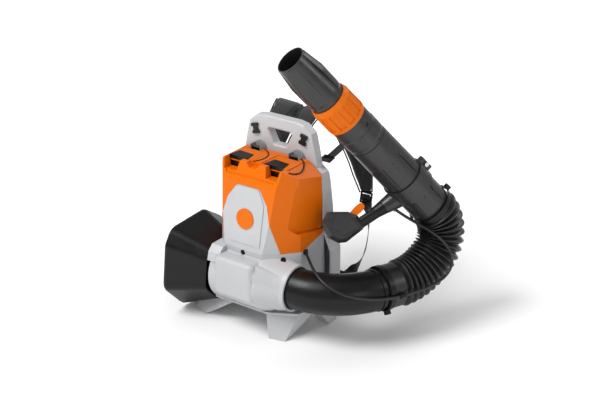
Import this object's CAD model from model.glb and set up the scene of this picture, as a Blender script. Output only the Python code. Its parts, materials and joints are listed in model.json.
"""Looks of the battery backpack leaf blower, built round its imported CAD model."""
import json
from math import cos, pi, radians, sin, tan

import bmesh
import bpy
from mathutils import Matrix, Vector


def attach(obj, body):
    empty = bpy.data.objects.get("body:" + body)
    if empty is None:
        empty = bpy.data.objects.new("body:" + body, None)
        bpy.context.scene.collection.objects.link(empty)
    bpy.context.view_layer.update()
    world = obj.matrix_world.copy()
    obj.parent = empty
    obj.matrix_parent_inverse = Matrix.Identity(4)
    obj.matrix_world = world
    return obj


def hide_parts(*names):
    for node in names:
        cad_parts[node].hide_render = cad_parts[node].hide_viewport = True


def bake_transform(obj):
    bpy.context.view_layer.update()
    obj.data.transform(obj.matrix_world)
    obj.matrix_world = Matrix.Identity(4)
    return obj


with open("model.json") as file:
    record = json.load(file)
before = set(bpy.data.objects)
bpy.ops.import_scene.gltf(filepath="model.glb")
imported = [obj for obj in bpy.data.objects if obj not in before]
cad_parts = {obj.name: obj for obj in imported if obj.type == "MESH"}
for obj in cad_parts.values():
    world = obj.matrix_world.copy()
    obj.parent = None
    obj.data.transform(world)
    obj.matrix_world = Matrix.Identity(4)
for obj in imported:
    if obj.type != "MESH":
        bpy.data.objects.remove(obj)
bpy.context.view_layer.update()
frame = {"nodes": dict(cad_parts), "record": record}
nodes = frame["nodes"]

ORIGIN = Vector((-0.1112, -0.0280, 0))       # the row frame's shift from the machine frame


def at(x, y, z):
    """A point of the machine frame, in millimetres, as a point of the row frame."""
    return Vector((x, y, z)) / 1000 + ORIGIN


# --- materials ------------------------------------------------------------------
KNIT_CELL = 0.0016                           # the pads' knit, from one cell to the next


class Nodes:
    """Small builder for one node material."""

    def __init__(self, name):
        self.material = bpy.data.materials.new(name)
        self.material.use_nodes = True
        self.tree = self.material.node_tree
        self.shader = self.tree.nodes["Principled BSDF"]
        self.where = self.tree.nodes.new("ShaderNodeTexCoord").outputs["Object"]

    def add(self, kind, inputs=(), **settings):
        node = self.tree.nodes.new(kind)
        for key, value in settings.items():
            setattr(node, key, value)
        for key, value in dict(inputs).items():
            if isinstance(value, bpy.types.NodeSocket):
                self.tree.links.new(value, node.inputs[key])
            else:
                node.inputs[key].default_value = value
        return node

    def noise(self, scale, detail=3.0, vector=None):
        inputs = {"Scale": scale, "Detail": detail, "Vector": vector or self.where}
        return self.add("ShaderNodeTexNoise", inputs).outputs["Fac"]

    def ramp(self, value, low, high, a, b):
        node = self.add("ShaderNodeMapRange", {"Value": value, "From Min": low, "From Max": high,
                                               "To Min": a, "To Max": b})
        return node.outputs["Result"]

    def mix(self, factor, a, b):
        node = self.add("ShaderNodeMix", {"Factor": factor}, data_type="RGBA")
        for socket, value in zip((node.inputs[6], node.inputs[7]), (a, b)):
            if isinstance(value, bpy.types.NodeSocket):
                self.tree.links.new(value, socket)
            else:
                socket.default_value = (*value, 1)
        return node.outputs[2]

    def bump(self, height, distance, strength):
        inputs = {"Height": height, "Distance": distance, "Strength": strength}
        return self.add("ShaderNodeBump", inputs).outputs["Normal"]

    def plug(self, name, value):
        socket = self.shader.inputs[name]
        if isinstance(value, bpy.types.NodeSocket):
            self.tree.links.new(value, socket)
        else:
            socket.default_value = value


def plastic(name, color, rough, grain=0.00006, mottle=0.05, coat=0.0, shine=0.5):
    """Moulded plastic: fine grain, faint mottling, and duller rubbed patches."""
    n = Nodes(name)
    broad = n.noise(14.0, 4.0)
    dark = [c * (1 - mottle) for c in color]
    light = [min(1, c * (1 + mottle)) for c in color]
    n.plug("Base Color", n.mix(broad, dark, light))
    n.plug("Roughness", n.ramp(n.noise(60.0, 5.0), 0.3, 0.7, rough - 0.05, rough + 0.07))
    n.plug("Normal", n.bump(n.noise(900.0, 2.0), grain, 0.5))
    n.plug("Specular IOR Level", shine)
    n.plug("Coat Weight", coat)
    n.plug("Coat Roughness", 0.2)
    return n.material


def metal(name, color, rough=0.3):
    """Turned or drawn metal with fine brushed lines."""
    n = Nodes(name)
    stretched = n.add("ShaderNodeMapping", {"Vector": n.where, "Scale": (60, 60, 900)}).outputs["Vector"]
    lines = n.noise(8.0, 3.0, stretched)
    n.plug("Base Color", n.mix(lines, [c * 0.8 for c in color], color))
    n.plug("Metallic", 1.0)
    n.plug("Roughness", n.ramp(lines, 0.3, 0.7, rough - 0.06, rough + 0.12))
    n.plug("Normal", n.bump(lines, 0.00003, 0.4))
    return n.material


def rubber(name, color, rough=0.62, shine=0.3):
    """Soft black rubber with a dusty bloom."""
    n = Nodes(name)
    bloom = n.noise(25.0, 6.0)
    n.plug("Base Color", n.mix(bloom, color, [c * 1.8 for c in color]))
    n.plug("Roughness", n.ramp(bloom, 0.3, 0.7, rough - 0.08, rough + 0.1))
    n.plug("Normal", n.bump(n.noise(1400.0, 2.0), 0.00005, 0.6))
    n.plug("Specular IOR Level", shine)
    return n.material


def cloth(name, color):
    """Spacer knit: a grid of small cells, over a faint mottle."""
    n = Nodes(name)
    cells = n.add("ShaderNodeTexVoronoi", {"Scale": 1 / KNIT_CELL, "Vector": n.where, "Randomness": 0.35})
    depth = n.ramp(cells.outputs["Distance"], 0.05, 0.55, 0.0, 1.0)
    tone = n.mix(n.noise(30.0, 3.0), [c * 0.8 for c in color], [c * 1.35 for c in color])
    n.plug("Base Color", n.mix(depth, [c * 0.45 for c in color], tone))
    n.plug("Roughness", 0.85)
    n.plug("Normal", n.bump(depth, 0.0005, 0.9))
    n.plug("Sheen Weight", 0.25)
    n.plug("Sheen Roughness", 0.5)
    return n.material


def webbing(name, color):
    """Woven band: fine ribs across a twill."""
    n = Nodes(name)
    ribs = n.add("ShaderNodeTexWave", {"Scale": 320.0, "Vector": n.where, "Distortion": 0.6, "Detail": 1.0},
                 bands_direction="DIAGONAL")
    rib = ribs.outputs["Fac"]
    n.plug("Base Color", n.mix(rib, [c * 0.6 for c in color], [c * 1.6 for c in color]))
    n.plug("Roughness", 0.8)
    n.plug("Normal", n.bump(rib, 0.0003, 0.8))
    n.plug("Sheen Weight", 0.2)
    return n.material


LIGHT_GREY = plastic("light_grey_moulding", (0.48, 0.485, 0.50), 0.34)
ORANGE = plastic("orange_moulding", (0.72, 0.140, 0.0), 0.33, mottle=0.04, shine=0.15)
BLACK = plastic("black_moulding", (0.004, 0.004, 0.0045), 0.34, mottle=0.25, grain=0.00012, shine=0.28)
DARK = plastic("dark_grey_moulding", (0.021, 0.021, 0.0225), 0.30, mottle=0.15, grain=0.0001)
WELL = plastic("well_grey_moulding", (0.27, 0.27, 0.29), 0.45)
RUBBER = rubber("black_rubber", (0.014, 0.014, 0.015))
STEEL = metal("bright_steel", (0.62, 0.62, 0.63))
MOTOR = metal("motor_can", (0.12, 0.12, 0.13), 0.4)
BRASS = metal("contact_brass", (0.8, 0.62, 0.28), 0.25)
BOARD = plastic("board_lacquer", (0.01, 0.10, 0.035), 0.25, coat=0.5)
BUTTON = plastic("button_grey", (0.55, 0.55, 0.56), 0.4)
PAD = cloth("pad_knit", (0.014, 0.014, 0.015))
WEBBING = webbing("strap_webbing", (0.012, 0.012, 0.0125))
HOSE = rubber("hose_rubber", (0.007, 0.007, 0.0075), 0.36, shine=0.5)
CABLE = rubber("cable_sheath", (0.006, 0.006, 0.006), 0.36, shine=0.5)
BINDING = webbing("binding_tape", (0.010, 0.010, 0.0105))
THREAD = plastic("seam_thread", (0.05, 0.05, 0.053), 0.6)

FINISH = {
    "light_grey": LIGHT_GREY, "orange": ORANGE, "black_plastic": BLACK, "dark_grey": DARK, "well_grey": WELL,
    "rubber": RUBBER, "steel": STEEL, "motor_can": MOTOR, "contacts": BRASS, "board": BOARD, "button": BUTTON,
    "pad_fabric": PAD, "webbing": WEBBING,
}


def paint(obj, material):
    if not obj.material_slots:
        obj.data.materials.append(material)
    for slot in obj.material_slots:
        slot.material = material


# the rounding of each node's sharp edges, in millimetres
BEVEL = {"battery_cover": 1.2, "front_plate": 1.2, "fan_housing": 1.6, "base_tray": 3.0, "back_plate": 1.5,
         "control_head": 1.2, "latch_wells": 0.8, "battery_left": 0.8, "battery_right": 0.8,
         "battery_grip_left": 0.7, "battery_grip_right": 0.7, "strap_anchors": 0.7, "badge": 0.5,
         "lock_ring": 0.5, "trigger": 0.8, "intake_funnel": 1.2, "latch_lever_left": 0.6,
         "latch_lever_right": 0.6, "strap_buckles": 1.0, "charge_button_left": 0.5,
         "charge_button_right": 0.5, "front_tube": 0.5, "rear_tube": 0.5, "nozzle": 0.5,
         "handle_sleeve": 1.0, "head_panel": 0.4}
SHARP = radians(28)                          # an edge that turns less than this is left as it is

OTHER = {"housing_screws": BLACK}            # nodes that don't wear their slot's finish

for part in frame["record"]["subparts"]:
    obj = nodes[part["node"]]
    paint(obj, OTHER.get(part["node"], FINISH[part["material_slot"]]))
    width = BEVEL.get(part["node"])
    if width:
        bevel = obj.modifiers.new("edges", "BEVEL")
        bevel.width = width / 1000
        bevel.segments = 3
        bevel.limit_method = "ANGLE"
        bevel.angle_limit = SHARP
        bevel.use_clamp_overlap = True


# --- mesh helpers ---------------------------------------------------------------
SIDEWAYS = Vector((1, 0, 0))
UPWARDS = Vector((0, 0, 1))


def new_object(name, verts, faces, material):
    mesh = bpy.data.meshes.new(name)
    mesh.from_pydata([tuple(v) for v in verts], [], faces)
    mesh.update()
    for polygon in mesh.polygons:
        polygon.use_smooth = True
    obj = bpy.data.objects.new(name, mesh)
    bpy.context.collection.objects.link(obj)
    mesh.materials.append(material)
    return obj


def heading(points, i):
    """A line's direction at its point i."""
    return (points[min(i + 1, len(points) - 1)] - points[max(i - 1, 0)]).normalized()


def frames(points, up):
    """(point, side, up) along a path, turned as little as possible from one to the next."""
    found = []
    side = None
    for i, p in enumerate(points):
        tangent = heading(points, i)
        side = tangent.cross(up) if side is None else side - tangent * side.dot(tangent)
        side.normalize()
        found.append((p, side.copy(), side.cross(tangent).normalized() * -1))
    return found


def crosswise(points, i, across):
    """A strip's directions of width and thickness at its point i, the width near across."""
    tangent = heading(points, i)
    wide = (across - tangent * across.dot(tangent)).normalized()
    return wide, wide.cross(tangent).normalized()


def skin(rows, count, closed_ends=True):
    """Faces between rows of count points each, every row a closed section."""
    faces = []
    for i in range(rows - 1):
        for j in range(count):
            k = (j + 1) % count
            faces.append((i * count + j, i * count + k, (i + 1) * count + k, (i + 1) * count + j))
    if closed_ends:
        faces.append(tuple(reversed(range(count))))
        faces.append(tuple((rows - 1) * count + j for j in range(count)))
    return faces


def swept(name, points, sections, material, up=UPWARDS, closed_ends=True):
    """A closed section swept along points; each section is a list of (side, up) offsets."""
    verts = []
    for (p, side, rise), section in zip(frames(points, up), sections):
        verts += [p + side * a + rise * b for a, b in section]
    obj = new_object(name, verts, skin(len(points), len(sections[0]), closed_ends), material)
    fix_normals(obj)
    return obj


def strip(name, points, sections, material, across):
    """A section swept along points, its width along each point's own direction across."""
    verts = []
    for i, (p, section) in enumerate(zip(points, sections)):
        wide, rise = crosswise(points, i, across[i])
        verts += [p + wide * a + rise * b for a, b in section]
    obj = new_object(name, verts, skin(len(points), len(sections[0])), material)
    fix_normals(obj)
    return obj


def fix_normals(obj):
    bm = bmesh.new()
    bm.from_mesh(obj.data)
    bmesh.ops.recalc_face_normals(bm, faces=bm.faces)
    bm.to_mesh(obj.data)
    bm.free()


def ring(radius, count):
    """A round section."""
    return [(radius * cos(2 * pi * i / count), radius * sin(2 * pi * i / count)) for i in range(count)]


def oval(width, thick, count=40, power=2.6):
    """A flattened section, rounder-edged the lower its power."""
    points = []
    for i in range(count):
        a = 2 * pi * i / count
        c, s = cos(a), sin(a)
        points.append((width / 2 * abs(c) ** (2 / power) * (1 if c >= 0 else -1),
                       thick / 2 * abs(s) ** (2 / power) * (1 if s >= 0 else -1)))
    return points


def smooth_path(points, count=None):
    """A smooth line drawn by control points, as count points an even distance apart or as it comes."""
    data = bpy.data.curves.new("path", "CURVE")
    data.dimensions = "3D"
    data.resolution_u = 12
    spline = data.splines.new("NURBS")
    spline.points.add(len(points) - 1)
    for control, p in zip(spline.points, points):
        control.co = (*p, 1)
    spline.order_u = 3
    spline.use_endpoint_u = True
    obj = bpy.data.objects.new("path", data)
    bpy.context.collection.objects.link(obj)
    mesh = bpy.data.meshes.new_from_object(obj)
    raw = [v.co.copy() for v in mesh.vertices]
    bpy.data.objects.remove(obj)
    bpy.data.meshes.remove(mesh)
    return even(raw, count) if count else raw


def even(points, count):
    """The same line, with points an even distance apart."""
    reached = [0.0]
    for a, b in zip(points, points[1:]):
        reached.append(reached[-1] + (b - a).length)
    found = []
    i = 0
    for n in range(count):
        want = reached[-1] * n / (count - 1)
        while i < len(points) - 2 and reached[i + 1] < want:
            i += 1
        span = reached[i + 1] - reached[i]
        found.append(points[i].lerp(points[i + 1], (want - reached[i]) / span if span else 0))
    return found


def line_length(points):
    return sum((b - a).length for a, b in zip(points, points[1:]))


def spread(values, count):
    """Linear steps between the values, count of them from the first to the last."""
    found = []
    for n in range(count):
        t = n / (count - 1) * (len(values) - 1)
        i = min(int(t), len(values) - 2)
        found.append(values[i] + (values[i + 1] - values[i]) * (t - i))
    return found


# --- the pleated hose -----------------------------------------------------------
ELBOW_TURN, ELBOW_RADIUS = radians(67.1), 0.173    # the elbow turns this far, from X towards Y
RUN = Vector((cos(ELBOW_TURN), sin(ELBOW_TURN), 0))
RUN_SIDE = Vector((-sin(ELBOW_TURN), cos(ELBOW_TURN), 0))
ELBOW_END = at(132, -89, 127) + Vector((sin(ELBOW_TURN), 1 - cos(ELBOW_TURN), 0)) * ELBOW_RADIUS
ROLL = radians(9)                            # how far the hose's bend leans out of the upright
HOSE_UP = UPWARDS * cos(ROLL) + RUN_SIDE * sin(ROLL)
HOSE_ARCS = ((0.157, 50), (0.0825, 80.8))    # the bend's radii, and the degrees that each turns through
HOSE_STEP = 0.001
CUFF_START, CUFF_END = 0.005, 0.060          # the plain cuff, from the end of the elbow's bend
CUFF_STEPS = round((CUFF_END - CUFF_START) / HOSE_STEP)
CUFF_RADIUS, NECK_DROP, NECK_STEPS = 0.0535, 0.003, 8    # its last steps narrow by the drop
PLEATS = 17
PLEAT_LOW, PLEAT_RISE = 0.0470, 0.0108       # the valleys' radius, and the crests' height over it
PLEAT_POWER = 0.65                           # below 1 the crests are broad and the valleys narrow
BORE = 0.0465                                # the smooth inside's radius
HOSE_SIDES = 88


def hose_line():
    """The hose's centreline from its cuff to the blow tube, about 1 mm between points."""
    points = [ELBOW_END + RUN * (CUFF_START + i * HOSE_STEP) for i in range(CUFF_STEPS)]
    start, direction, up = ELBOW_END + RUN * CUFF_END, RUN, HOSE_UP
    for radius, angle in HOSE_ARCS:
        centre = start + up * radius
        whole = radians(angle)
        steps = int(radius * whole / HOSE_STEP)
        for turn in [whole * i / steps for i in range(steps)]:
            points.append(centre - (up * cos(turn) - direction * sin(turn)) * radius)
        start = centre - (up * cos(whole) - direction * sin(whole)) * radius
        direction, up = direction * cos(whole) + up * sin(whole), up * cos(whole) - direction * sin(whole)
    return points + [start]


def hose_radius(i, last):
    """The outer radius at one step: a cuff that ends in a short neck, then rounded pleats."""
    if i < CUFF_STEPS - NECK_STEPS:
        return CUFF_RADIUS
    if i < CUFF_STEPS:
        return CUFF_RADIUS - NECK_DROP * sin((i - CUFF_STEPS + NECK_STEPS) / NECK_STEPS * pi / 2)
    wave = 0.5 - 0.5 * cos(2 * pi * PLEATS * (i - CUFF_STEPS) / (last - CUFF_STEPS))
    return PLEAT_LOW + PLEAT_RISE * wave ** PLEAT_POWER


def pleated_hose():
    """The hose as one closed skin: the pleated outside, then back along the smooth inside."""
    points = hose_line()
    last, end = len(points) - 1, points[-1]
    # along the plain cuff every third point is enough
    kept = [i for i in range(last + 1) if i % 3 == 0 or i >= CUFF_STEPS - 4]
    outer = [ring(hose_radius(i, last), HOSE_SIDES) for i in kept]
    outside = [points[i] for i in kept]
    inside = outside[::-6]
    inner = [ring(BORE, HOSE_SIDES)] * len(inside)
    obj = swept("hose_pleats", outside + inside, outer + inner, HOSE, HOSE_UP, closed_ends=False)
    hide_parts("pleated_hose")
    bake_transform(obj)


# --- the control cable ----------------------------------------------------------
CABLE_ROUTE = [(128, -42, 200), (150, -61, 195), (179, -84, 186), (215, -102, 174), (250, -100, 160),
               (282, -85, 148), (312, -58, 139), (337, -24, 132), (354, 8, 129), (368, 37, 129),
               (386, 73, 132), (402, 108, 138), (413, 140, 151), (417, 157, 174), (412, 156, 202),
               (394, 149, 230), (367, 139, 252), (333, 127, 270), (302, 120, 283), (282, 110, 298)]


def control_cable():
    """The cable's round sheath, along its route."""
    line = smooth_path([at(*p) for p in CABLE_ROUTE])
    obj = swept("control_cable_sheath", line, [ring(0.0035, 16)] * len(line), CABLE)
    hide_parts("control_cable")
    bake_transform(obj)


# --- harness --------------------------------------------------------------------
SWELL_PRESSURE, SWELL_FRAMES = 4.0, 20


def settle(obj, cap, voxel):
    """Swells a pad's cover with the cloth solver, and lets no point move further than cap."""
    remesh = obj.modifiers.new("remesh", "REMESH")
    remesh.mode = "VOXEL"
    remesh.voxel_size = voxel
    apply_modifiers(obj)
    before = [v.co.copy() for v in obj.data.vertices]
    cloth_mod = obj.modifiers.new("cloth", "CLOTH")
    settings = cloth_mod.settings
    settings.quality = 6
    settings.use_pressure = True
    settings.uniform_pressure_force = SWELL_PRESSURE
    settings.effector_weights.gravity = 0.0
    settings.tension_stiffness = 30
    settings.compression_stiffness = 30
    settings.bending_stiffness = 2
    cloth_mod.point_cache.frame_end = SWELL_FRAMES
    for step in range(1, SWELL_FRAMES + 1):
        bpy.context.scene.frame_set(step)
    evaluated = obj.evaluated_get(bpy.context.evaluated_depsgraph_get())
    after = [v.co.copy() for v in evaluated.data.vertices]
    obj.modifiers.remove(cloth_mod)
    for vert, a, b in zip(obj.data.vertices, before, after):
        move = b - a
        vert.co = a + (move if move.length <= cap else move.normalized() * cap)
    bpy.context.scene.frame_set(1)
    smooth = obj.modifiers.new("smooth", "SMOOTH")
    smooth.factor = 0.5
    smooth.iterations = 4
    sub = obj.modifiers.new("sub", "SUBSURF")
    sub.levels = sub.render_levels = 1
    apply_modifiers(obj)
    for polygon in obj.data.polygons:
        polygon.use_smooth = True


def apply_modifiers(obj):
    """Makes an object's modifiers part of its mesh."""
    bpy.context.view_layer.update()
    evaluated = obj.evaluated_get(bpy.context.evaluated_depsgraph_get())
    mesh = bpy.data.meshes.new_from_object(evaluated)
    materials = list(obj.data.materials)
    obj.modifiers.clear()
    obj.data = mesh
    if not mesh.materials:
        for material in materials:
            mesh.materials.append(material)


PAD_PATH = [(38, 70, 474), (38, 96, 497), (44, 130, 500), (62, 160, 478), (92, 178, 435), (120, 186, 385),
            (138, 187, 330), (150, 185, 285)]
PAD_WIDTHS = [50, 62, 69, 71, 71, 66, 56, 34]    # at even steps along the pad, in millimetres
PAD_THICKNESSES = [8, 11, 12, 12, 12, 12, 10, 6]
PAD_POINTS = 60


def shoulder_pad(side, name):
    """One shoulder pad's swelled cover; gives back the line that the pad follows."""
    points = smooth_path([at(side * x, y, z) for x, y, z in PAD_PATH], PAD_POINTS)
    sizes = zip(spread(PAD_WIDTHS, PAD_POINTS), spread(PAD_THICKNESSES, PAD_POINTS))
    sections = [oval(wide / 1000, thick / 1000) for wide, thick in sizes]
    pad = strip("shoulder_pad_cover_" + name, points, sections, PAD, [SIDEWAYS] * PAD_POINTS)
    settle(pad, cap=0.003, voxel=0.004)
    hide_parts("shoulder_pad_" + name)
    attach(pad, "backpack")
    return points


def joined(name, objects):
    """Several meshes as one piece."""
    bm = bmesh.new()
    for obj in objects:
        obj.data.transform(obj.matrix_world)
        bm.from_mesh(obj.data)
    mesh = bpy.data.meshes.new(name)
    bm.to_mesh(mesh)
    bm.free()
    mesh.materials.append(objects[0].data.materials[0])
    whole = bpy.data.objects.new(name, mesh)
    bpy.context.collection.objects.link(whole)
    for obj in objects:
        bpy.data.objects.remove(obj)
    for polygon in mesh.polygons:
        polygon.use_smooth = True
    return whole


STITCH_PITCH, STITCH_LENGTH, THREAD_RADIUS = 0.0042, 0.0026, 0.00035
STITCH_PROFILE = ((-0.5, 0.2), (-0.3, 1.0), (0.3, 1.0), (0.5, 0.2))    # share of its length, of its radius
THREAD_SIDES = 6


def stitches(name, line, rise):
    """A row of short thread stitches lying along a line."""
    points = even(line, max(3, int(line_length(line) / STITCH_PITCH)))
    verts, faces = [], []
    for here, there in zip(points, points[1:]):
        run = (there - here).normalized()
        side = run.cross(rise).normalized()
        up = side.cross(run)
        base = len(verts)
        for share, grow in STITCH_PROFILE:
            middle = here + run * STITCH_LENGTH * share
            verts += [middle + side * a + up * b for a, b in ring(THREAD_RADIUS * grow, THREAD_SIDES)]
        faces += [tuple(base + v for v in face) for face in skin(len(STITCH_PROFILE), THREAD_SIDES)]
    return new_object(name, verts, faces, THREAD)


BINDING_RADIUS, BINDING_OUT = 0.0019, 0.0012     # the bound edge, and how far it stands out
SEAM_IN, SEAM_UP = 0.006, 0.0066                 # the stitches, from the pad's edge and above its middle


def pad_edges(name, points):
    """Bound edges and a row of stitches along each, on one shoulder pad."""
    halves = [wide / 2000 for wide in spread(PAD_WIDTHS, PAD_POINTS)]
    bindings, threads = [], []
    for edge in (-1, 1):
        line, row = [], []
        for i, (p, half) in enumerate(zip(points, halves)):
            out, rise = crosswise(points, i, SIDEWAYS)
            line.append(p + out * edge * (half + BINDING_OUT))
            row.append(p + out * edge * (half - SEAM_IN) + rise * SEAM_UP)
        bindings.append(swept("edge", line, [ring(BINDING_RADIUS, 10)] * PAD_POINTS, BINDING, SIDEWAYS))
        threads.append(stitches("thread", row[2:-2], UPWARDS))
    binding = joined("pad_binding_" + name, bindings)
    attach(binding, "backpack")
    thread = joined("pad_stitches_" + name, threads)
    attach(thread, "backpack")


WEB_THICKNESS, WEB_POINTS = 0.0016, 40
LOWER_WEB_ROUTE = [(150, 184, 280), (152, 186, 258), (158, 187, 232), (167, 176, 180), (170, 150, 125),
                   (164, 110, 98), (150, 78, 96)]
LOWER_WEB_TWIST = (0, 0.7, 1, 1, 0.6, 0)         # 0 is flat to the wearer's back, 1 is edge-on to it
LIFTER_ROUTE = [(108, 58, 402), (109, 85, 402), (110, 125, 412), (112, 165, 424)]


def band(route, side, width, across=(SIDEWAYS, SIDEWAYS)):
    """A flat web along a route, or along its mirror image where side is -1."""
    line = smooth_path([at(side * x, y, z) for x, y, z in route], WEB_POINTS)
    sections = [oval(width, WEB_THICKNESS, 24, 6)] * WEB_POINTS
    return strip("web", line, sections, WEBBING, spread(across, WEB_POINTS))


def strap_webs():
    """The lower webs, which twist edge-on between the pads' tips and the frame's foot."""
    webs = []
    for side in (-1, 1):
        edge_on = Vector((-0.5 * side, 0.85, 0))
        across = [SIDEWAYS.lerp(edge_on, twist) for twist in LOWER_WEB_TWIST]
        webs.append(band(LOWER_WEB_ROUTE, side, 0.025, across))
    piece = joined("lower_webs", webs)
    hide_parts("strap_webs")
    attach(piece, "backpack")


def lifter_webs():
    """The short adjusting webs from the frame's shoulders to the pads."""
    piece = joined("lifter_bands", [band(LIFTER_ROUTE, side, 0.022) for side in (-1, 1)])
    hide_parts("lifter_webs")
    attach(piece, "backpack")


def bar_box(size, place):
    """One bar of a webbing slider, a box with well rounded edges."""
    bm = bmesh.new()
    bmesh.ops.create_cube(bm, size=1)
    bmesh.ops.scale(bm, vec=size, verts=bm.verts)
    bmesh.ops.translate(bm, vec=place, verts=bm.verts)
    bmesh.ops.bevel(bm, geom=bm.edges[:], offset=min(size) * 0.3, segments=3, affect="EDGES", profile=0.5)
    mesh = bpy.data.meshes.new("bar")
    bm.to_mesh(mesh)
    bm.free()
    obj = bpy.data.objects.new("bar", mesh)
    bpy.context.collection.objects.link(obj)
    mesh.materials.append(BLACK)
    return obj


RAIL = 0.004                                 # the width of a slider's side rails
CROSS_BARS = ((0.5, 0.006), (0.16, 0.004), (-0.18, 0.004), (-0.5, 0.005))    # share of the height, depth


def ladder_lock(wide, tall):
    """A webbing slider: a frame with two cross bars and a raised lip."""
    bars = []
    for side in (-1, 1):
        bars.append(bar_box((RAIL, 0.005, tall), (side * (wide - RAIL) / 2, 0, 0)))
    for height, depth in CROSS_BARS:
        bars.append(bar_box((wide, depth, 0.0038), (0, 0, height * (tall - RAIL))))
    bars.append(bar_box((wide * 0.7, 0.003, 0.009), (0, RAIL, tall / 2)))
    return bars


# each slider's width, height, centre on the right-hand side, and tilt about X in degrees:
# on the lower web at the frame's foot, on the lifter web, and at the shoulder pad's tip
SLIDERS = ((0.033, 0.030, (150, 66, 96), -35),
           (0.030, 0.024, (109, 72, 402), -78),
           (0.034, 0.030, (151, 185, 270), -12))


def sliders():
    """The webbing sliders on both sides."""
    bars = []
    for side in (-1, 1):
        for wide, tall, (x, y, z), tilt in SLIDERS:
            placed = Matrix.Translation(at(side * x, y, z)) @ Matrix.Rotation(radians(tilt), 4, "X")
            for bar in ladder_lock(wide, tall):
                bar.matrix_world = placed
                bars.append(bar)
    bpy.context.view_layer.update()
    piece = joined("webbing_sliders", bars)
    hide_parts("strap_buckles")
    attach(piece, "backpack")


CUSHION_WIDE, CUSHION_TALL, CUSHION_THICK = 0.184, 0.252, 0.017
CUSHION_CORNER, CUSHION_BORDER = 0.026, 0.012    # the corners' radius, and the rim that thins out
CUSHION_RIM = 0.35                               # the rim's thickness, as a share of the middle's
CHANNELS = (-0.075, -0.025, 0.025, 0.075)        # heights of the sewn channels, from the middle
CHANNEL_DEPTH, CHANNEL_REACH = 0.0045, 0.007
CUSHION_CELLS = (46, 62)                         # faces across the cushion and up it


def clamped(value):
    return min(1, max(0, value))


def cushion_point(u, v):
    """Where (u, v), each from -1 to 1, lies on the cushion, and how full it is there."""
    half_x, half_z = CUSHION_WIDE / 2, CUSHION_TALL / 2
    x, z = u * half_x, v * half_z
    corner_x, corner_z = half_x - CUSHION_CORNER, half_z - CUSHION_CORNER
    over_x, over_z = max(abs(x) - corner_x, 0), max(abs(z) - corner_z, 0)
    reach = (over_x ** 2 + over_z ** 2) ** 0.5
    if reach > CUSHION_CORNER:
        x = (corner_x + over_x * CUSHION_CORNER / reach) * (1 if x > 0 else -1)
        z = (corner_z + over_z * CUSHION_CORNER / reach) * (1 if z > 0 else -1)
        reach = CUSHION_CORNER
    edge = clamped((half_x - abs(x)) / CUSHION_BORDER) * clamped((half_z - abs(z)) / CUSHION_BORDER)
    return x, z, min(edge, clamped((CUSHION_CORNER - reach) / CUSHION_BORDER))


def back_pad():
    """The pad on the wearer's side, with sewn channels across it."""
    centre = at(0, 69.5, 250)
    count_x, count_z = CUSHION_CELLS
    verts, faces = [], []
    for face in (-1, 1):
        for j in range(count_z + 1):
            for i in range(count_x + 1):
                x, z, edge = cushion_point(i / count_x * 2 - 1, j / count_z * 2 - 1)
                y = face * CUSHION_THICK / 2 * (CUSHION_RIM + (1 - CUSHION_RIM) * edge ** 0.5)
                verts.append(centre + Vector((x, y, z)))
    row = count_x + 1
    size = row * (count_z + 1)
    for face in (0, 1):
        for j in range(count_z):
            for i in range(count_x):
                a = face * size + j * row + i
                faces.append((a, a + 1, a + row + 1, a + row))
    rim = ([i for i in range(count_x)] + [j * row + count_x for j in range(count_z)]
           + [count_z * row + count_x - i for i in range(count_x)]
           + [(count_z - j) * row for j in range(count_z)])
    for k, a in enumerate(rim):
        b = rim[(k + 1) % len(rim)]
        faces.append((a, b, b + size, a + size))
    pad = new_object("back_cushion", verts, faces, PAD)
    fix_normals(pad)
    settle(pad, cap=0.006, voxel=0.005)
    for vert in pad.data.vertices:
        if vert.co.y > centre.y:
            for channel in CHANNELS:
                away = abs(vert.co.z - centre.z - channel) / CHANNEL_REACH
                vert.co.y -= CHANNEL_DEPTH * max(0.0, 1 - away) ** 1.5
    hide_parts("back_pad")
    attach(pad, "backpack")


BATTERY_X, SEAL_CENTRE_Y, SEAL_RADIUS = 52, -36, 53    # millimetres, as are the heights below
SEAL_WIDE, SEAL_TALL = 0.0036, 0.0022
SEAL_START, SEAL_TURN, SEAL_STEPS = -35, 106, 40    # degrees round the battery's right-hand end
TOP_Z, TOP_FRONT_Y, TOP_FALL = 413.4, -75, radians(1)    # the cover's top face at its front, and its slope
FLANK_Z, FLANK_X, FLANK_FALL = 411.6, 91, radians(38)    # where its flank falls away, and how steeply


def bay_seal(x, name):
    """The black lip on the cover's top, an arc round one battery's right-hand end."""
    line = []
    for i in range(SEAL_STEPS + 1):
        a = radians(SEAL_START + SEAL_TURN * i / SEAL_STEPS)
        px, py = x + SEAL_RADIUS * cos(a), SEAL_CENTRE_Y + SEAL_RADIUS * sin(a)
        top = TOP_Z - (py - TOP_FRONT_Y) * tan(TOP_FALL)
        flank = FLANK_Z - (px - FLANK_X) * tan(FLANK_FALL)
        line.append(at(px, py, min(top, flank)))
    seal = swept("bay_seal_" + name, line, [oval(SEAL_WIDE, SEAL_TALL, 16)] * len(line), BLACK)
    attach(seal, "backpack")


SIDES = ((-1, "left"), (1, "right"))
for seal_side, seal_name in SIDES:
    bay_seal(seal_side * BATTERY_X, seal_name)
pleated_hose()
control_cable()
for pad_side, pad_name in SIDES:
    pad_edges(pad_name, shoulder_pad(pad_side, pad_name))
strap_webs()
lifter_webs()
sliders()
back_pad()


# --- stage, lights and camera ---------------------------------------------------
GLOW_FROM, GLOW_TO, GLOW = 0.25, 1.2, 0.5    # between these distances the floor's faint glow grows to this


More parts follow.
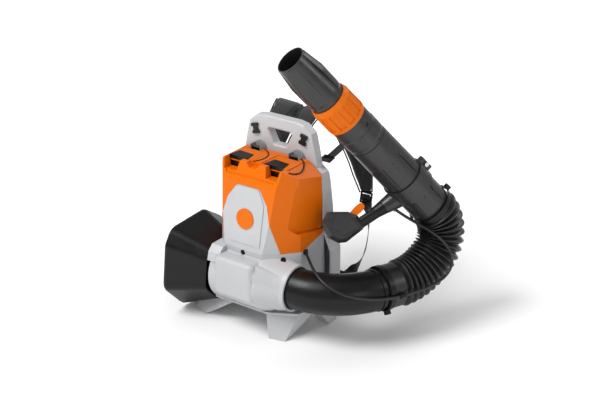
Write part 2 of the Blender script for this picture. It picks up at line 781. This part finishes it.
def studio_floor():
    """A pale floor that stays white behind the machine."""
    bpy.ops.mesh.primitive_plane_add(size=30, location=(0, 0, -0.0005))
    floor = bpy.context.object
    floor.name = "floor"
    n = Nodes("pale_floor")
    n.plug("Base Color", n.mix(n.noise(1.2, 2.0), (0.90, 0.90, 0.90), (0.93, 0.93, 0.93)))
    n.plug("Roughness", 0.75)
    reach = n.add("ShaderNodeVectorMath", {0: n.where}, operation="LENGTH").outputs["Value"]
    n.plug("Emission Color", (1, 1, 1, 1))
    n.plug("Emission Strength", n.ramp(reach, GLOW_FROM, GLOW_TO, 0.0, GLOW))
    floor.data.materials.append(n.material)


def area_light(name, place, target, size, power):
    """A round lamp of one diameter in metres and power in watts, turned to face its target."""
    data = bpy.data.lights.new(name, "AREA")
    data.shape = "DISK"
    data.size = size
    data.energy = power
    lamp = bpy.data.objects.new(name, data)
    bpy.context.collection.objects.link(lamp)
    lamp.location = place
    lamp.rotation_euler = (Vector(target) - Vector(place)).to_track_quat("-Z", "Y").to_euler()


def world_light(strength):
    world = bpy.data.worlds.new("studio")
    bpy.context.scene.world = world
    world.use_nodes = True
    back = world.node_tree.nodes["Background"]
    back.inputs["Color"].default_value = (1, 1, 1, 1)
    back.inputs["Strength"].default_value = strength


AZIMUTH, ELEVATION = radians(35.4), radians(23.7)
TARGET = at(80, 0, 312)
DISTANCE, LENS, SENSOR = 3.0, 75, 36         # metres, then millimetres


def camera():
    away = Vector((sin(AZIMUTH) * cos(ELEVATION), -cos(AZIMUTH) * cos(ELEVATION), sin(ELEVATION)))
    data = bpy.data.cameras.new("camera")
    data.lens = LENS
    data.sensor_width = SENSOR
    cam = bpy.data.objects.new("camera", data)
    bpy.context.collection.objects.link(cam)
    cam.location = TARGET + away * DISTANCE
    cam.rotation_euler = (-away).to_track_quat("-Z", "Y").to_euler()
    bpy.context.scene.camera = cam


studio_floor()
world_light(0.40)
area_light("key", (-1.0, -1.7, 2.8), (0, 0, 0.35), size=1.7, power=88)
area_light("fill", (2.6, -1.4, 1.2), (0, 0, 0.35), size=0.9, power=9)
area_light("rim", (0.6, 2.4, 2.2), (0, 0, 0.4), size=1.4, power=14)
area_light("edge", (2.4, 0.9, 1.6), (0.1, 0, 0.3), size=0.8, power=10)
camera()
bpy.context.scene.view_settings.view_transform = "Standard"
